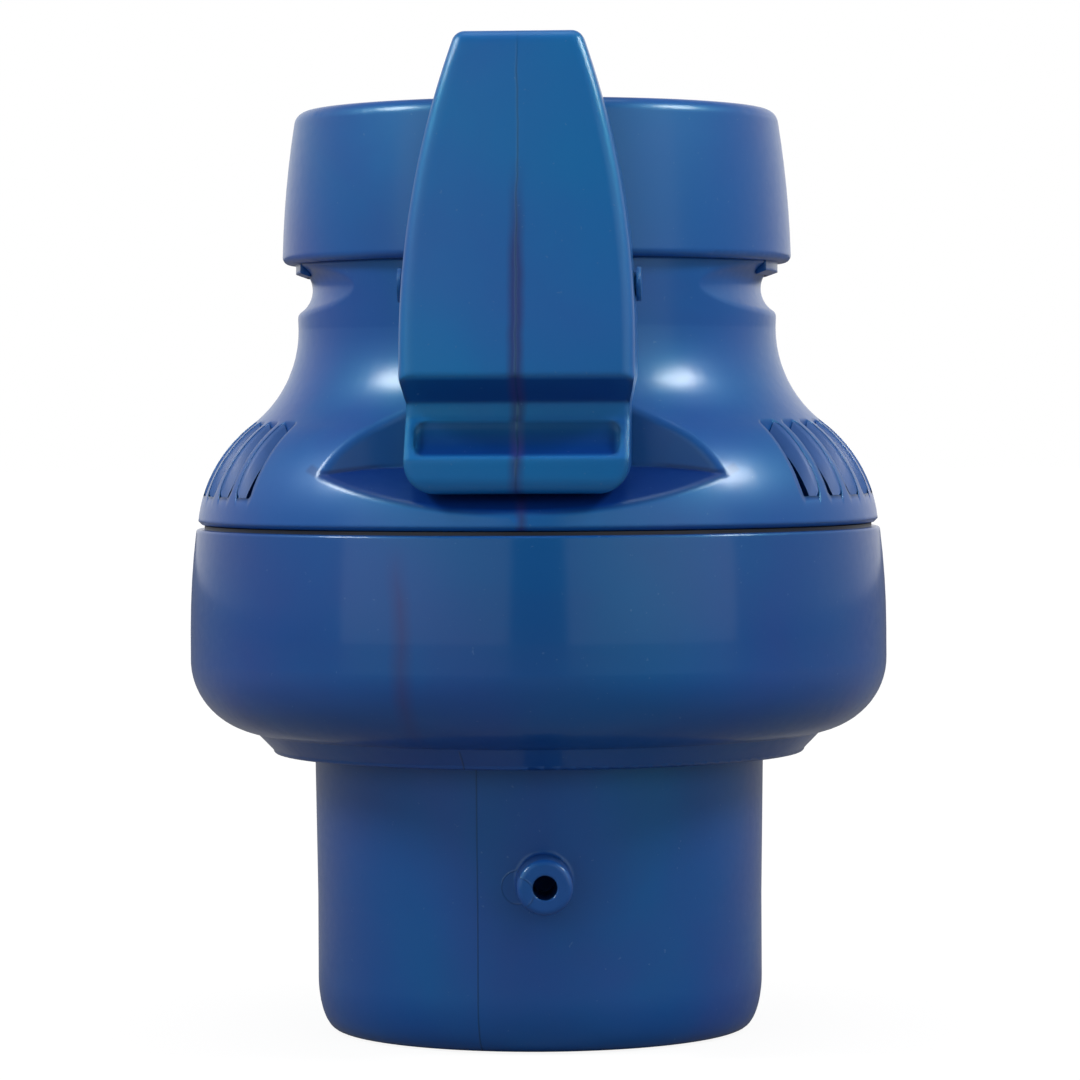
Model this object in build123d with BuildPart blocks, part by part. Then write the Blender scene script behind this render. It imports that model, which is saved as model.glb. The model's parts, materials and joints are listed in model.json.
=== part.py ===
from build123d import *
from math import acos, asin, atan2, cos, degrees, radians, sin, sqrt, tan
import os

# Flow regulator valve for a pool skimmer, in millimetres.
# The origin is the centre of the outlet's bottom face, +Z points up to the hose inlet,
# and the hand lever stands on the -Y side. Distances "out" are measured from the Z axis.

# Fits
running_gap = 0.1       # radial clearance of a sliding or turning fit
free_gap = 0.3          # between pieces that move past each other
nest_gap = 0.05         # between pieces that sit in one another and stay put
press_gap = 0.02        # between the pin and the holes it is pressed into
past = 1.0              # how far a cut runs on past the surface it leaves
root_in = 0.4           # how far a rib's root reaches into the wall it grows from

# Outlet spigot and its port nipple
spigot_length = 37.3
spigot_r = 30.15
spigot_top_r = 30.45
spigot_end_in = 2.6     # the rounded end draws in by this much over the height up to the land
land_low_z = 7.0
land_high_z = 18.0
outlet_r = 25.8
nipple_angle = 4.4      # degrees from the lever's side towards +X
nipple_z = 22.4
nipple_r = 3.6
nipple_reach = 38.0
nipple_rim = 0.7
nipple_in = 1.5         # how far the nipple's root reaches into the spigot's wall
nipple_root_r = 0.5
nipple_bore_r = 1.6

# Flange and drum
flange_r = 36.1
flange_edge = 0.5
flange_height = 2.7
flange_top_r = 38.4
drum_r = 47.25
drum_corner_out = 10.65
drum_corner_up = 10.0
drum_height = 27.7
drum_wide_z = 54.0
drum_taper = 0.8
drum_lip = 0.4
drum_wall = 2.85
chamber_corner_r = 5.6
chamber_floor = 3.2
floor_ledge_drop = 0.6

# Shoulder and neck of the upper housing
seam_gap = 0.6
seam_step = 0.2         # the shoulder starts this much further in than the drum's top
shoulder_arc_r = 18.8
shoulder_arc_drop = 1.5
shoulder_edge = 0.5
neck_r = 32.45
neck_top_r = 32.75
neck_arc_r = 16.0
neck_straight = 8.9
neck_in_r = 28.6
housing_wall = 2.6
skirt_depth = 6.9
skirt_wall = 2.9
bead_size = 0.7
bead_rise = 1.7

# Thumb recess in the shoulder, behind the lever's pad
recess_depth = 12.55    # from the shoulder's widest radius to the back wall
recess_flat = 30.0
recess_end_r = 28.0
recess_end_arc = 60
recess_foot = 8.0       # height of the back wall's foot above the shoulder's base
recess_slope = 24.7
recess_wall = 2.4
recess_height = 16.0
recess_lip = 1.5

# Vent slots
slots_per_side = 10
slot_pitch = 7.8
slot_angle = 6.0
slot_margin = 0.75      # from the slots' outer ends to the shoulder's widest radius
slot_length = 7.2
slot_floor = 2.3        # height of the slots' floor above the shoulder's base
slot_corner = 0.9

# Finger pockets under the collar, and the collar's release tabs in them
pocket_r = 3.6
pocket_depth = 2.0
pocket_drop = 3.5
pocket_centre_in = 8.85 # the ring that cuts a pocket is centred this far on the other side of the axis
pocket_arc = 60.0
pocket_rim = 1.0
tab_half_angle = 17.5
tab_height = 1.3
tab_slant = 0.5
tab_wall = 1.4
tab_gap_angle = 1.0

# Inlet collar, socket liner and seals
collar_height = 20.7
collar_r = 34.55
collar_top_r = 32.9
collar_bulge = 0.3
collar_edge = 1.0
collar_rim = 1.6
collar_lip = 2.4
collar_mouth_r = 24.9
mouth_chamfer = 1.0
collar_neck_r = 30.9    # outside of the neck's upstand inside the collar
collar_neck_height = 6.5
catch_size = 0.5
catch_rise = 2.0
catch_height = 1.2
socket_r = 24.4
socket_wall = 2.6
socket_depth = 15.0
socket_flange = 2.0
socket_chamfer = 1.0
cuff_seal_height = 2.4
cuff_seal_wall = 4.4
throat_r = 21.6
throat_stop = 2.0
sleeve_length = 20.0
sleeve_wall = 2.5

# Flow tube
tube_r = 24.0
tube_foot_r = 28.6
tube_foot = 2.0
foot_gasket = 0.5
port_width = 19.0
port_height = 5.2
port_rise = 0.8         # the ports' lower edge above the tube's foot
port_corner = 1.5
tube_seal_wire = 1.5
tube_seal_below_top = 7.0
seal_groove_height = 1.8

# Bypass valve: ring, seal, bush, seat plate and spring
valve_travel = 4.0
valve_plate = 2.0
valve_overlap = 3.4     # of the valve plate over the seat's inner edge
hub_wall = 2.6
hub_height = 8.0
hub_chamfer = 0.6
guide_out = 1.1         # the spring guide's sides, from the coil's centre line
guide_in = 3.4
guide_drop = 1.2
bush_wall = 0.8
gusset_count = 8
gusset_width = 1.4
gusset_height = 3.6
gusset_margin = 0.9
valve_seal_wall = 4.6
valve_seal_height = 1.4
seat_gap = 0.1
seat_width = 9.0
seat_clearance = 0.4
seat_lip_wall = 1.6
seat_lip = 1.0
seat_plate_height = 2.4
seat_seal_height = 1.4
seat_seal_wall = 1.3
boss_r = 2.7
boss_in = 2.6           # the bosses' centres from the chamber's wall
screw_in = 3.0
boss_count = 4
screw_r = 1.2
screw_length = 10.0
screw_head_r = 2.6
screw_head = 1.8
screw_head_rim = 0.6
screw_end_gap = 1.0     # left free under the screws' ends
cross_length = 2.6
cross_width = 0.6
cross_depth = 0.9
spring_wire = 1.6
spring_turns = 3
spring_spare = 0.6      # free length left when the valve is fully open
washer_height = 0.8
washer_gap = 0.6
groove_rib = 1.4
groove_margin = 1.6
spring_groove_drop = 2.8
housing_seal_wire = 1.5
seam_ring_margin = 0.75
seam_ring_wall = 1.4
seam_ring_height = 0.45

# Hand lever and its hinge
pivot_reach = 5.05      # from the neck to the pin
pivot_z_below_collar = 3.8
pin_r = 1.5
pin_head_r = 2.2
pin_head = 0.6
lever_half = 15.0
lever_arc_r = 120.0
lever_arc_below = 11.5  # the side edges start to curve this far below the collar
lever_rise = 8.0        # top of the lever above the collar's rim
lever_top_out = 39.4
lever_top_corner = 1.7
lever_bow = 0.4
lever_edge_r = 1.6
ledge_in = 0.2          # the ledge's edge from the pad's front
ledge_below = 15.5      # the ledge's edge below the collar
undercut_in = 4.1
undercut_drop = 3.4
undercut_flat = 1.9
slope_lean = 0.2
pad_half = 14.25
pad_proud = 0.15        # of the pad's front over the shoulder's widest radius
pad_drop = 12.6
pad_roll_r = 2.0
pad_bottom_drop = 15.0
pad_depth = 7.8
pad_corner = 4.0
lever_wall = 2.4
cheek_wall = 2.5
cheek_in_front = 2.3    # the cheeks' back edges from the pin towards the neck
lug_r = 3.3
claw_low = 2.8          # the claw's underside above the collar's rim
claw_height = 2.3
claw_r = 28.2
claw_reach = 6.0        # added to the claw's depth so that it meets the curved back in its corners
groove_half = 13.1      # half the length of the thumb groove in the pad
groove_width = 5.6
groove_corner = 1.8
groove_r = 5.2
groove_depth = 0.9
lug_in = 0.6            # the lugs' outer faces from the lever's widest half width
ear_wall = 2.5
ear_gap = 0.3
ear_foot = 7.3          # the ears' foot on the neck below the pin
ear_chin_out = 2.0      # the lower corner of the ears' front edge, from the pin
ear_chin_drop = 2.65
coil_wire = 0.9
coil_r = 2.6
coil_turns = 5 + 1 / 3
coil_tilt = 15          # degrees by which the neck leg leans to the neck
neck_leg = 7.7
lever_leg = 3.5

# Radii worked out from the sizes above
drum_top_r = drum_r - drum_taper
shoulder_r = drum_top_r - seam_step
chamber_r = drum_top_r - drum_wall
groove_in_r = tube_foot_r + groove_rib
groove_out_r = chamber_r - chamber_corner_r - groove_margin
spring_r = (groove_in_r + groove_out_r) / 2
boss_out = chamber_r - boss_in
screw_out = chamber_r - screw_in
seat_r = chamber_r - seat_clearance
seat_in_r = chamber_r - seat_width
valve_r = seat_in_r + valve_overlap
gusset_r = valve_r - valve_seal_wall - gusset_margin
seam_ring_r = drum_top_r - drum_lip - seam_ring_margin
slot_out_r = shoulder_r - slot_margin
slot_in_r = slot_out_r - slot_length
recess_out = shoulder_r - recess_depth
pad_out = shoulder_r + pad_proud
ledge_out = pad_out - ledge_in
undercut_out = pad_out - undercut_in
pad_back_out = pad_out - pad_depth
pivot_out = neck_r + pivot_reach
cheek_out = pivot_out - cheek_in_front

# Heights worked out from the sizes above
flange_z = spigot_length
drum_base_z = flange_z + flange_height
drum_top_z = drum_base_z + drum_height
floor_z = drum_base_z + chamber_floor
ledge_z = floor_z - floor_ledge_drop
shoulder_z = drum_top_z + seam_gap
shoulder_arc_z = shoulder_z - shoulder_arc_drop
shoulder_arc_out = shoulder_r - shoulder_arc_r
neck_arc_out = neck_r + neck_arc_r
flare_span = neck_arc_out - shoulder_arc_out
flare_reach = shoulder_arc_r + neck_arc_r
neck_z = shoulder_arc_z + sqrt(flare_reach ** 2 - flare_span ** 2)
flare_angle = degrees(atan2(neck_z - shoulder_arc_z, flare_span))
collar_z = neck_z + neck_straight
rim_z = collar_z + collar_height
liner_flange_z = collar_z + collar_neck_height
liner_top_z = rim_z - collar_lip - cuff_seal_height
socket_stop_z = liner_top_z - socket_depth
sleeve_top_z = socket_stop_z - throat_stop
sleeve_low_z = sleeve_top_z - sleeve_length
tube_foot_z = ledge_z + foot_gasket
tube_top_z = sleeve_top_z - 2 * free_gap
tube_seal_z = tube_top_z - tube_seal_below_top
skirt_z = shoulder_z - skirt_depth
skirt_r = chamber_r - free_gap
skirt_in_r = skirt_r - skirt_wall
bead_z = skirt_z + bead_rise
housing_seal_z = bead_z + bead_size + free_gap + housing_seal_wire
spring_height = (spring_turns + 1) * spring_wire + valve_travel + spring_spare
spring_floor_z = floor_z - spring_groove_drop
spring_z = spring_floor_z + washer_height
valve_z = spring_z + spring_height
valve_seal_z = valve_z + valve_plate
seat_lip_z = valve_seal_z + valve_seal_height + seat_gap
seat_z = seat_lip_z + seat_lip
seat_top_z = seat_z + seat_plate_height
pivot_z = collar_z - pivot_z_below_collar
recess_z = shoulder_z + recess_foot
lever_top_z = rim_z + lever_rise
ledge_edge_z = collar_z - ledge_below
lever_arc_z = collar_z - lever_arc_below


def on_circle(centre, radius, angle):
    """The point of a circle in the profile plane at an angle from the outward direction."""
    return (centre[0] + radius * cos(radians(angle)), centre[1] + radius * sin(radians(angle)))


def arc_between(centre, radius, start, end):
    """An arc of the profile from one angle to another."""
    middle = (start + end) / 2
    return ThreePointArc(
        on_circle(centre, radius, start), on_circle(centre, radius, middle), on_circle(centre, radius, end)
    )


def ring_face(r_in, r_out, z_low, height):
    """A rectangle of the profile plane that revolves to a flat ring."""
    with Locations(((r_in + r_out) / 2, z_low + height / 2)):
        Rectangle(r_out - r_in, height)


def radial_plane(angle):
    """The profile plane turned about the Z axis."""
    out = Vector(cos(radians(angle)), sin(radians(angle)), 0)
    return Plane(origin=(0, 0, 0), x_dir=out, z_dir=Vector(out.Y, -out.X, 0))


# Lower body: drum, step flange and outlet spigot in one moulding
nipple_way = Vector(sin(radians(nipple_angle)), -cos(radians(nipple_angle)), 0)
nipple_root = Plane(origin=nipple_way * outlet_r + Vector(0, 0, nipple_z), z_dir=nipple_way)
belly_centre = (drum_r - drum_corner_out, drum_base_z + drum_corner_up)
belly_start = degrees(acos((flange_top_r - belly_centre[0]) / drum_corner_out))

with BuildPart() as lower_body:
    with BuildSketch(Plane.XZ):
        with BuildLine():
            foot = Line((outlet_r, 0), (spigot_r - spigot_end_in, 0))
            roll_centre = (spigot_r - spigot_end_in, land_low_z)
            roll = EllipticalCenterArc(roll_centre, spigot_end_in, land_low_z, 270, arc_size=90)
            spigot = Polyline(
                roll @ 1, (spigot_r, land_high_z), (spigot_top_r, flange_z), (flange_r - flange_edge, flange_z)
            )
            edge = TangentArc(spigot @ 1, (flange_r, flange_z + flange_edge), tangent=(1, 0))
            belly = EllipticalCenterArc(
                belly_centre, drum_corner_out, drum_corner_up, -belly_start, arc_size=belly_start
            )
            Line(edge @ 1, belly @ 0)
            side = Line(belly @ 1, (drum_r, drum_wide_z))
            taper = TangentArc(side @ 1, (drum_top_r, drum_top_z - drum_lip), tangent=(0, 1))
            lip = TangentArc(taper @ 1, (drum_top_r - drum_lip, drum_top_z), tangent=(0, 1))
            wall = Polyline(lip @ 1, (chamber_r, drum_top_z), (chamber_r, floor_z + chamber_corner_r))
            cove = JernArc(start=wall @ 1, tangent=(0, -1), radius=chamber_corner_r, arc_size=-90)
            Polyline(
                cove @ 1, (groove_out_r, floor_z), (groove_out_r, spring_floor_z),
                (groove_in_r, spring_floor_z), (groove_in_r, tube_foot_z + tube_foot),
                (tube_foot_r + nest_gap, tube_foot_z + tube_foot), (tube_foot_r + nest_gap, ledge_z),
                (outlet_r, ledge_z), foot @ 0
            )
        make_face()
    revolve(axis=Axis.Z)
    with BuildSketch(Plane.XZ):
        ring_face(
            chamber_r, skirt_r + bead_size + free_gap,
            bead_z - bead_size - free_gap, 2 * bead_size + 2 * free_gap
        )
    revolve(axis=Axis.Z, mode=Mode.SUBTRACT)
    with BuildSketch(Plane.XY.offset(floor_z)):
        with PolarLocations(boss_out, boss_count, start_angle=45):
            Circle(boss_r)
    extrude(amount=seat_z - floor_z)
    with BuildSketch(Plane.XY.offset(seat_z)):
        with PolarLocations(screw_out, boss_count, start_angle=45):
            Circle(screw_r + nest_gap)
    extrude(amount=-screw_length, mode=Mode.SUBTRACT)
    with BuildSketch(nipple_root.offset(spigot_r - outlet_r - nipple_in)):
        Circle(nipple_r)
    extrude(amount=nipple_reach - spigot_r + nipple_in)
    nipple_face = faces().sort_by(Axis((0, 0, nipple_z), tuple(nipple_way)))[-1]
    fillet(nipple_face.edges(), nipple_rim)
    nipple_side = nipple_way * spigot_r + Vector(0, 0, nipple_z + nipple_r)
    fillet(edges().sort_by_distance(nipple_side)[0], nipple_root_r)
    with BuildSketch(nipple_root.offset(-past)):
        Circle(nipple_bore_r)
    extrude(amount=nipple_reach - outlet_r + 2 * past, mode=Mode.SUBTRACT)
lower_body.part.label = "lower_body"


# Thumb recess: a prism with a flat back, curved ends and a floor that slopes outwards
recess_normal = Vector(0, -sin(radians(recess_slope)), cos(radians(recess_slope)))


def recess_prism(grow):
    """The space of the thumb recess, grown by a wall thickness."""
    back_y = grow - recess_out
    with BuildPart() as prism:
        with BuildSketch(Plane.XY.offset(skirt_z)):
            with BuildLine():
                back = Line((-recess_flat / 2, back_y), (recess_flat / 2, back_y))
                right = JernArc(start=back @ 1, tangent=(1, 0), radius=recess_end_r + grow, arc_size=-recess_end_arc)
                left = JernArc(start=back @ 0, tangent=(-1, 0), radius=recess_end_r + grow, arc_size=recess_end_arc)
                front_y = -shoulder_r - 2 * recess_end_r
                Polyline(right @ 1, ((right @ 1).X, front_y), ((left @ 1).X, front_y), left @ 1)
            make_face()
        extrude(amount=recess_z + recess_height + grow - skirt_z)
        floor_point = Vector(0, -recess_out, recess_z) - recess_normal * grow
        split(bisect_by=Plane(origin=floor_point, z_dir=recess_normal), keep=Keep.TOP)
    return prism.part


# The hollow inside the housing. The recess's walls and the deep fins between the slots are kept.
fins_half = slots_per_side * slot_pitch / 2
shoulder_centre = (shoulder_arc_out, shoulder_arc_z)
neck_centre = (neck_arc_out, neck_z)
inner_start = degrees(asin(sqrt(1 - ((skirt_in_r - shoulder_arc_out) / (shoulder_arc_r - housing_wall)) ** 2)))
with BuildPart() as housing_hollow:
    with BuildSketch(Plane.XZ):
        with BuildLine():
            inner_arc_r = shoulder_arc_r - housing_wall
            inner_shoulder = arc_between(shoulder_centre, inner_arc_r, inner_start, flare_angle)
            inner_neck = arc_between(neck_centre, neck_arc_r + housing_wall, flare_angle + 180, 180)
            Polyline(
                inner_neck @ 1, (neck_in_r, neck_z + housing_wall), (neck_in_r, rim_z), (0, rim_z),
                (0, skirt_z - past), (skirt_in_r, skirt_z - past), inner_shoulder @ 0
            )
        make_face()
    revolve(axis=Axis.Z)
    for group_angle in (0, 180):
        with BuildSketch(radial_plane(group_angle - fins_half)):
            ring_face(
                slot_in_r + slot_corner, shoulder_r, shoulder_z + slot_floor, neck_z - shoulder_z
            )
        revolve(axis=Axis.Z, revolution_arc=2 * fins_half, mode=Mode.SUBTRACT)
    add(recess_prism(recess_wall), mode=Mode.SUBTRACT)


# Finger pocket: a rounded groove under the collar, cut by a ring of a larger radius than the neck's,
# so that it is deepest at its middle and fades out at both ends
pocket_ring_r = neck_r - pocket_depth + pocket_centre_in
pocket_z = collar_z - pocket_drop


def pocket_shape(middle_angle):
    """The space of one finger pocket, centred on an angle in plan."""
    with BuildPart() as pocket:
        with BuildSketch(Plane.XZ):
            with Locations((pocket_ring_r + pocket_r, pocket_z)):
                Circle(pocket_r)
        revolve(axis=Axis.Z, revolution_arc=2 * pocket_arc)
    turned = pocket.part.rotate(Axis.Z, -pocket_arc).translate((-pocket_centre_in, 0, 0))
    return turned.rotate(Axis.Z, middle_angle)


slot_angles = [(i - (slots_per_side - 1) / 2) * slot_pitch for i in range(slots_per_side)]
half = radians(slot_angle / 2)
shell_start = degrees(asin((shoulder_arc_drop + shoulder_edge) / shoulder_arc_r))
lug_half = lever_half - lug_in
cheek_in = lug_half - cheek_wall
ear_start = cheek_in - ear_gap - ear_wall

with BuildPart() as upper_housing:
    with BuildSketch(Plane.XZ):
        with BuildLine():
            shell_low = on_circle(shoulder_centre, shoulder_arc_r, shell_start)
            rounding = Line((shell_low[0] - shoulder_edge, shoulder_z), shell_low)
            arc_between(shoulder_centre, shoulder_arc_r, shell_start, flare_angle)
            outer_neck = arc_between(neck_centre, neck_arc_r, flare_angle + 180, 180)
            Polyline(
                outer_neck @ 1, (neck_top_r, collar_z), (collar_neck_r, collar_z),
                (collar_neck_r, liner_flange_z), (0, liner_flange_z), (0, skirt_z), (skirt_r, skirt_z),
                (skirt_r, shoulder_z), rounding @ 0
            )
        make_face()
    revolve(axis=Axis.Z)
    with BuildSketch(Plane.XZ):
        with BuildLine():
            Polyline(
                (skirt_r, bead_z - bead_size), (skirt_r + bead_size, bead_z), (skirt_r, bead_z + bead_size),
                (skirt_r - root_in, bead_z), close=True
            )
        make_face()
        ring_face(collar_neck_r - root_in, collar_neck_r + catch_size, collar_z + catch_rise, catch_height)
    revolve(axis=Axis.Z)
    with BuildSketch(Plane.XZ):
        ring_face(
            skirt_r - housing_seal_wire - nest_gap, skirt_r + past,
            housing_seal_z - seal_groove_height / 2, seal_groove_height
        )
    revolve(axis=Axis.Z, mode=Mode.SUBTRACT)
    add(recess_prism(0), mode=Mode.SUBTRACT)
    fillet(edges().filter_by(GeomType.BSPLINE), recess_lip)
    for pocket_angle in (0, 180):
        add(pocket_shape(pocket_angle), mode=Mode.SUBTRACT)
    pocket_edges = edges().filter_by(GeomType.BSPLINE).filter_by_position(Axis.Z, neck_z, collar_z)
    fillet(pocket_edges, pocket_rim)
    tab_gap = tab_half_angle + tab_gap_angle
    for tab_side in (0, 180):
        with BuildSketch(radial_plane(tab_side - tab_gap)):
            ring_face(neck_top_r - tab_wall - nest_gap, neck_top_r + past, pocket_z, pocket_drop)
        revolve(axis=Axis.Z, revolution_arc=2 * tab_gap, mode=Mode.SUBTRACT)
    add(housing_hollow.part, mode=Mode.SUBTRACT)
    with BuildSketch(Plane.XY.offset(shoulder_z + slot_floor)) as slot_plan:
        for group_angle in (0, 180):
            for slot_place in slot_angles:
                with Locations(Location((0, 0, 0), (0, 0, group_angle + slot_place))):
                    Polygon(
                        (slot_in_r * cos(half), -slot_in_r * sin(half)),
                        (slot_out_r * cos(half), -slot_out_r * sin(half)),
                        (slot_out_r * cos(half), slot_out_r * sin(half)),
                        (slot_in_r * cos(half), slot_in_r * sin(half)),
                        align=None
                    )
        fillet(slot_plan.vertices(), slot_corner)
    extrude(amount=neck_z - shoulder_z, mode=Mode.SUBTRACT)
    for ear_side in (ear_start, -ear_start - ear_wall):
        with BuildSketch(Plane.YZ.offset(ear_side)) as ear_sketch:
            with Locations((-pivot_out, pivot_z)):
                Circle(lug_r)
            with BuildLine():
                Polyline(
                    (-pivot_out, pivot_z + lug_r), (-neck_in_r - root_in, pivot_z + lug_r),
                    (-neck_in_r - root_in, pivot_z - ear_foot),
                    (-pivot_out - ear_chin_out, pivot_z - ear_chin_drop), close=True
                )
            make_face()
        extrude(amount=ear_wall)
    with BuildSketch(Plane.YZ.offset(-lever_half)):
        with Locations((-pivot_out, pivot_z)):
            Circle(pin_r + press_gap)
    extrude(amount=2 * lever_half, mode=Mode.SUBTRACT)
upper_housing.part.label = "upper_housing"


# Inlet collar, with its two release tabs
with BuildPart() as inlet_collar:
    with BuildSketch(Plane.XZ):
        with BuildLine():
            under = Line((collar_neck_r + nest_gap, collar_z), (collar_r - collar_edge, collar_z))
            low_edge = JernArc(start=under @ 1, tangent=(1, 0), radius=collar_edge, arc_size=90)
            side_top = (collar_top_r, rim_z - collar_rim)
            side_middle = (
                (collar_r + collar_top_r) / 2 + collar_bulge, (collar_z + collar_edge + rim_z - collar_rim) / 2
            )
            flank = ThreePointArc(low_edge @ 1, side_middle, side_top)
            top_edge = TangentArc(flank @ 1, (collar_top_r - collar_rim, rim_z), tangent=flank % 1)
            Polyline(
                top_edge @ 1, (collar_mouth_r + mouth_chamfer, rim_z), (collar_mouth_r, rim_z - mouth_chamfer),
                (collar_mouth_r, rim_z - collar_lip), (collar_neck_r + nest_gap, rim_z - collar_lip), under @ 0
            )
        make_face()
    revolve(axis=Axis.Z)
    with BuildSketch(Plane.XZ):
        ring_face(
            collar_neck_r, collar_neck_r + catch_size + nest_gap,
            collar_z + catch_rise - nest_gap, catch_height + 2 * nest_gap
        )
    revolve(axis=Axis.Z, mode=Mode.SUBTRACT)
    for tab_side in (0, 180):
        with BuildSketch(radial_plane(tab_side - tab_half_angle)):
            with BuildLine():
                Polyline(
                    (neck_top_r - tab_wall, collar_z + tab_slant), (neck_top_r, collar_z + tab_slant),
                    (neck_top_r, collar_z - tab_height),
                    (neck_top_r - tab_wall, collar_z - tab_height - tab_slant), close=True
                )
            make_face()
        revolve(axis=Axis.Z, revolution_arc=2 * tab_half_angle)
inlet_collar.part.label = "inlet_collar"


# Socket liner: the hose cuff's socket, a stop ring, and the sleeve that turns on the flow tube
with BuildPart() as socket_liner:
    with BuildSketch(Plane.XZ):
        sleeve_r = tube_r + running_gap
        liner_r = socket_r + socket_wall
        with BuildLine():
            Polyline(
                (sleeve_r, sleeve_low_z), (sleeve_r + sleeve_wall, sleeve_low_z),
                (sleeve_r + sleeve_wall, socket_stop_z), (liner_r, socket_stop_z + socket_chamfer),
                (liner_r, liner_flange_z), (collar_neck_r, liner_flange_z),
                (collar_neck_r, liner_flange_z + socket_flange), (liner_r, liner_flange_z + socket_flange),
                (liner_r, liner_top_z), (socket_r, liner_top_z), (socket_r, socket_stop_z),
                (throat_r, socket_stop_z), (throat_r, sleeve_top_z), (sleeve_r, sleeve_top_z), close=True
            )
        make_face()
    revolve(axis=Axis.Z)
socket_liner.part.label = "socket_liner"

# Cuff seal: a rubber ring between the liner's rim and the collar's lip
with BuildPart() as cuff_seal:
    with BuildSketch(Plane.XZ):
        ring_face(socket_r, socket_r + cuff_seal_wall, liner_top_z, cuff_seal_height)
    revolve(axis=Axis.Z)
cuff_seal.part.label = "cuff_seal"

# Housing seal: an O-ring in the skirt's groove
with BuildPart() as housing_seal:
    with BuildSketch(Plane.XZ):
        with Locations((skirt_r - housing_seal_wire / 2, housing_seal_z)):
            Circle(housing_seal_wire / 2)
    revolve(axis=Axis.Z)
housing_seal.part.label = "housing_seal"

# Seam ring: a thin wear ring in the gap between drum and shoulder
with BuildPart() as seam_ring:
    with BuildSketch(Plane.XZ):
        ring_face(seam_ring_r - seam_ring_wall, seam_ring_r, drum_top_z, seam_ring_height)
    revolve(axis=Axis.Z)
seam_ring.part.label = "seam_ring"

# Flow tube: from the lower body's ledge up into the liner's sleeve, with bypass ports near its foot
with BuildPart() as flow_tube:
    with BuildSketch(Plane.XZ):
        ring_face(throat_r, tube_r, tube_foot_z, tube_top_z - tube_foot_z)
        ring_face(throat_r, tube_foot_r, tube_foot_z, tube_foot)
    revolve(axis=Axis.Z)
    with BuildSketch(Plane.XZ):
        ring_face(
            tube_r - tube_seal_wire - nest_gap, tube_r + past,
            tube_seal_z - seal_groove_height / 2, seal_groove_height
        )
    revolve(axis=Axis.Z, mode=Mode.SUBTRACT)
    port_z = tube_foot_z + tube_foot + port_rise + port_height / 2
    for port_plane in (Plane.XZ, Plane.YZ):
        with BuildSketch(port_plane):
            with Locations((0, port_z)):
                RectangleRounded(port_width, port_height, port_corner)
        extrude(amount=tube_foot_r, both=True, mode=Mode.SUBTRACT)
flow_tube.part.label = "flow_tube"

# Tube seal: an O-ring near the top of the flow tube
with BuildPart() as tube_seal:
    with BuildSketch(Plane.XZ):
        with Locations((tube_r - tube_seal_wire / 2, tube_seal_z)):
            Circle(tube_seal_wire / 2)
    revolve(axis=Axis.Z)
tube_seal.part.label = "tube_seal"

# Foot gasket: a flat ring under the flow tube's foot
with BuildPart() as foot_seal:
    with BuildSketch(Plane.XZ):
        ring_face(outlet_r, tube_foot_r, ledge_z, foot_gasket)
    revolve(axis=Axis.Z)
foot_seal.part.label = "foot_gasket"

# Spring washer at the bottom of the spring's groove
with BuildPart() as spring_washer:
    with BuildSketch(Plane.XZ):
        washer_in_r = groove_in_r + washer_gap
        ring_face(washer_in_r, groove_out_r - washer_gap, spring_floor_z, washer_height)
    revolve(axis=Axis.Z)
spring_washer.part.label = "spring_washer"

# Regulator spring: a coil of wire with eight flats, between the washer and the valve ring
coil_low = spring_z + spring_wire / 2 + nest_gap
coil_height = spring_height - spring_wire - 2 * nest_gap
with BuildPart() as regulator_spring:
    with BuildLine() as coil_line:
        Helix(pitch=coil_height / spring_turns, height=coil_height, radius=spring_r, center=(0, 0, coil_low))
    with BuildSketch(Plane(origin=coil_line.line @ 0, z_dir=coil_line.line % 0)):
        RegularPolygon(spring_wire / 2, 8)
    sweep(path=coil_line.line, is_frenet=True)
regulator_spring.part.label = "regulator_spring"

# Valve ring: a flat annular plate with a hub and gussets, which slides down the flow tube to open
hub_in_r = tube_r + running_gap + bush_wall
hub_r = hub_in_r + hub_wall
with BuildPart() as valve_ring:
    with BuildSketch(Plane.XZ):
        ring_face(hub_in_r, valve_r, valve_z, valve_plate)
        ring_face(hub_in_r, hub_r, valve_z, hub_height)
        ring_face(spring_r - guide_in, spring_r - guide_out, valve_z - guide_drop, guide_drop + root_in)
    revolve(axis=Axis.Z)
    with BuildSketch(Plane.XY.offset(valve_seal_z)):
        with PolarLocations((hub_r + gusset_r - root_in) / 2, gusset_count):
            Rectangle(gusset_r - hub_r + root_in, gusset_width)
    extrude(amount=gusset_height)
    hub_rims = edges().filter_by(GeomType.CIRCLE).group_by(Axis.Z)[-1]
    chamfer(hub_rims.sort_by(SortBy.RADIUS)[-1], hub_chamfer)
valve_ring.part.label = "valve_ring"

# Valve bush: a slippery liner pressed into the hub
with BuildPart() as valve_bush:
    with BuildSketch(Plane.XZ):
        ring_face(tube_r + running_gap, hub_in_r - nest_gap, valve_z, hub_height)
    revolve(axis=Axis.Z)
valve_bush.part.label = "valve_bush"

# Valve seal: a flat rubber ring that meets the seat's lip
with BuildPart() as valve_seal:
    with BuildSketch(Plane.XZ):
        ring_face(valve_r - valve_seal_wall, valve_r, valve_seal_z, valve_seal_height)
    revolve(axis=Axis.Z)
valve_seal.part.label = "valve_seal"

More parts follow.
